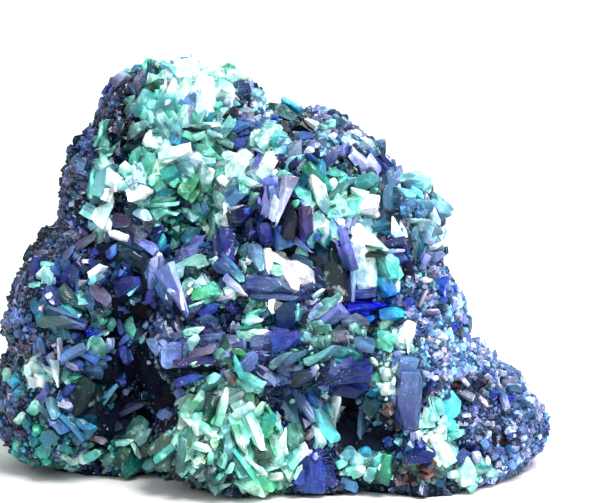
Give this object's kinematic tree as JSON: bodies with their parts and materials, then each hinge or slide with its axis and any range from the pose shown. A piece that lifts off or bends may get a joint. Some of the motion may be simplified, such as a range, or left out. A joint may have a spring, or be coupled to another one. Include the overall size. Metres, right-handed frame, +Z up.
{
  "type": "azurite specimen",
  "caption": "Craggy miniature mineral specimen of intergrown azurite blades and malachite, dark druse all round, cut flat at the base so that it stands.",
  "frame": {"origin": "on the flat broken base, near its middle", "axes": "+Z up, +X along the lump towards its low knob, -Y the way the bladed front looks"},
  "size_m": [0.0566, 0.0365, 0.0411],
  "materials": {
    "azurite": "vitreous",
    "malachite": "silky",
    "matrix": "matt"
  },
  "bodies": {
    "root": {"azurite_specimen": "azurite"}
  },
  "joints": []
}
